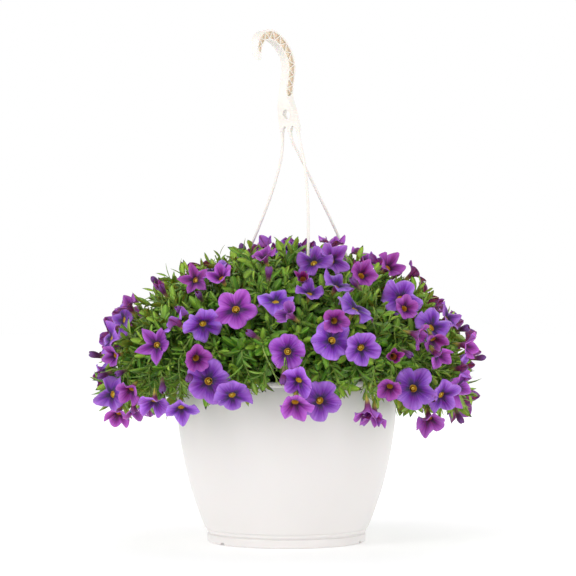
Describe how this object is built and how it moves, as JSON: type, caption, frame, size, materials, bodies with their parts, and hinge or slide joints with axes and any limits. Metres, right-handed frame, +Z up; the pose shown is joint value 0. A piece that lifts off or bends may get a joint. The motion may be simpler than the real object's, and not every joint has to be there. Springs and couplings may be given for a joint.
{
  "type": "hanging basket plant",
  "caption": "Purple-flowered trailing calibrachoa filling a round white plastic hanging basket, with a hooked plastic hanger clipped to the rim.",
  "frame": {"origin": "centre of the pot's foot, on the surface that it stands on", "axes": "+Z up, -Y towards the front of the basket, +X to the viewer's right"},
  "size_m": [0.4456, 0.4574, 0.5842],
  "materials": {
    "pot": "satin moulded white plastic",
    "hanger": "creamy white moulded plastic",
    "soil": "moist peat mix",
    "roots": "matted roots and peat",
    "stems": "soft green stem",
    "leaves": "soft satin leaf",
    "petals": "velvety petal"
  },
  "bodies": {
    "root": {"pot_shell": "pot", "potting_mix": "soil", "root_ball_1": "roots", "stem_cluster_1": "stems", "root_ball_2": "roots", "stem_cluster_2": "stems", "root_ball_3": "roots", "stem_cluster_3": "stems", "hanger_hook": "hanger", "hanger_arm_left": "hanger", "hanger_arm_back": "hanger", "hanger_arm_front": "hanger", "flower_01": "petals", "flower_02": "petals", "flower_03": "petals", "flower_04": "petals", "flower_05": "petals", "flower_06": "petals", "flower_07": "petals", "flower_08": "petals", "flower_09": "petals", "flower_10": "petals", "flower_11": "petals", "flower_12": "petals", "flower_13": "petals", "flower_14": "petals", "flower_15": "petals", "flower_16": "petals", "flower_17": "petals", "flower_18": "petals", "flower_19": "petals", "flower_20": "petals", "flower_21": "petals", "flower_22": "petals", "flower_23": "petals", "flower_24": "petals", "flower_25": "petals", "flower_26": "petals", "flower_27": "petals", "flower_28": "petals", "flower_29": "petals", "flower_30": "petals", "trailing_foliage_01": "leaves", "trailing_foliage_02": "leaves", "trailing_foliage_03": "leaves", "trailing_foliage_04": "leaves", "trailing_foliage_05": "leaves", "trailing_foliage_06": "leaves", "trailing_foliage_07": "leaves", "trailing_foliage_08": "leaves", "trailing_foliage_09": "leaves", "trailing_foliage_10": "leaves", "trailing_foliage_11": "leaves", "trailing_foliage_12": "leaves", "crown_foliage_1": "leaves", "crown_foliage_2": "leaves", "crown_foliage_3": "leaves"}
  },
  "joints": []
}
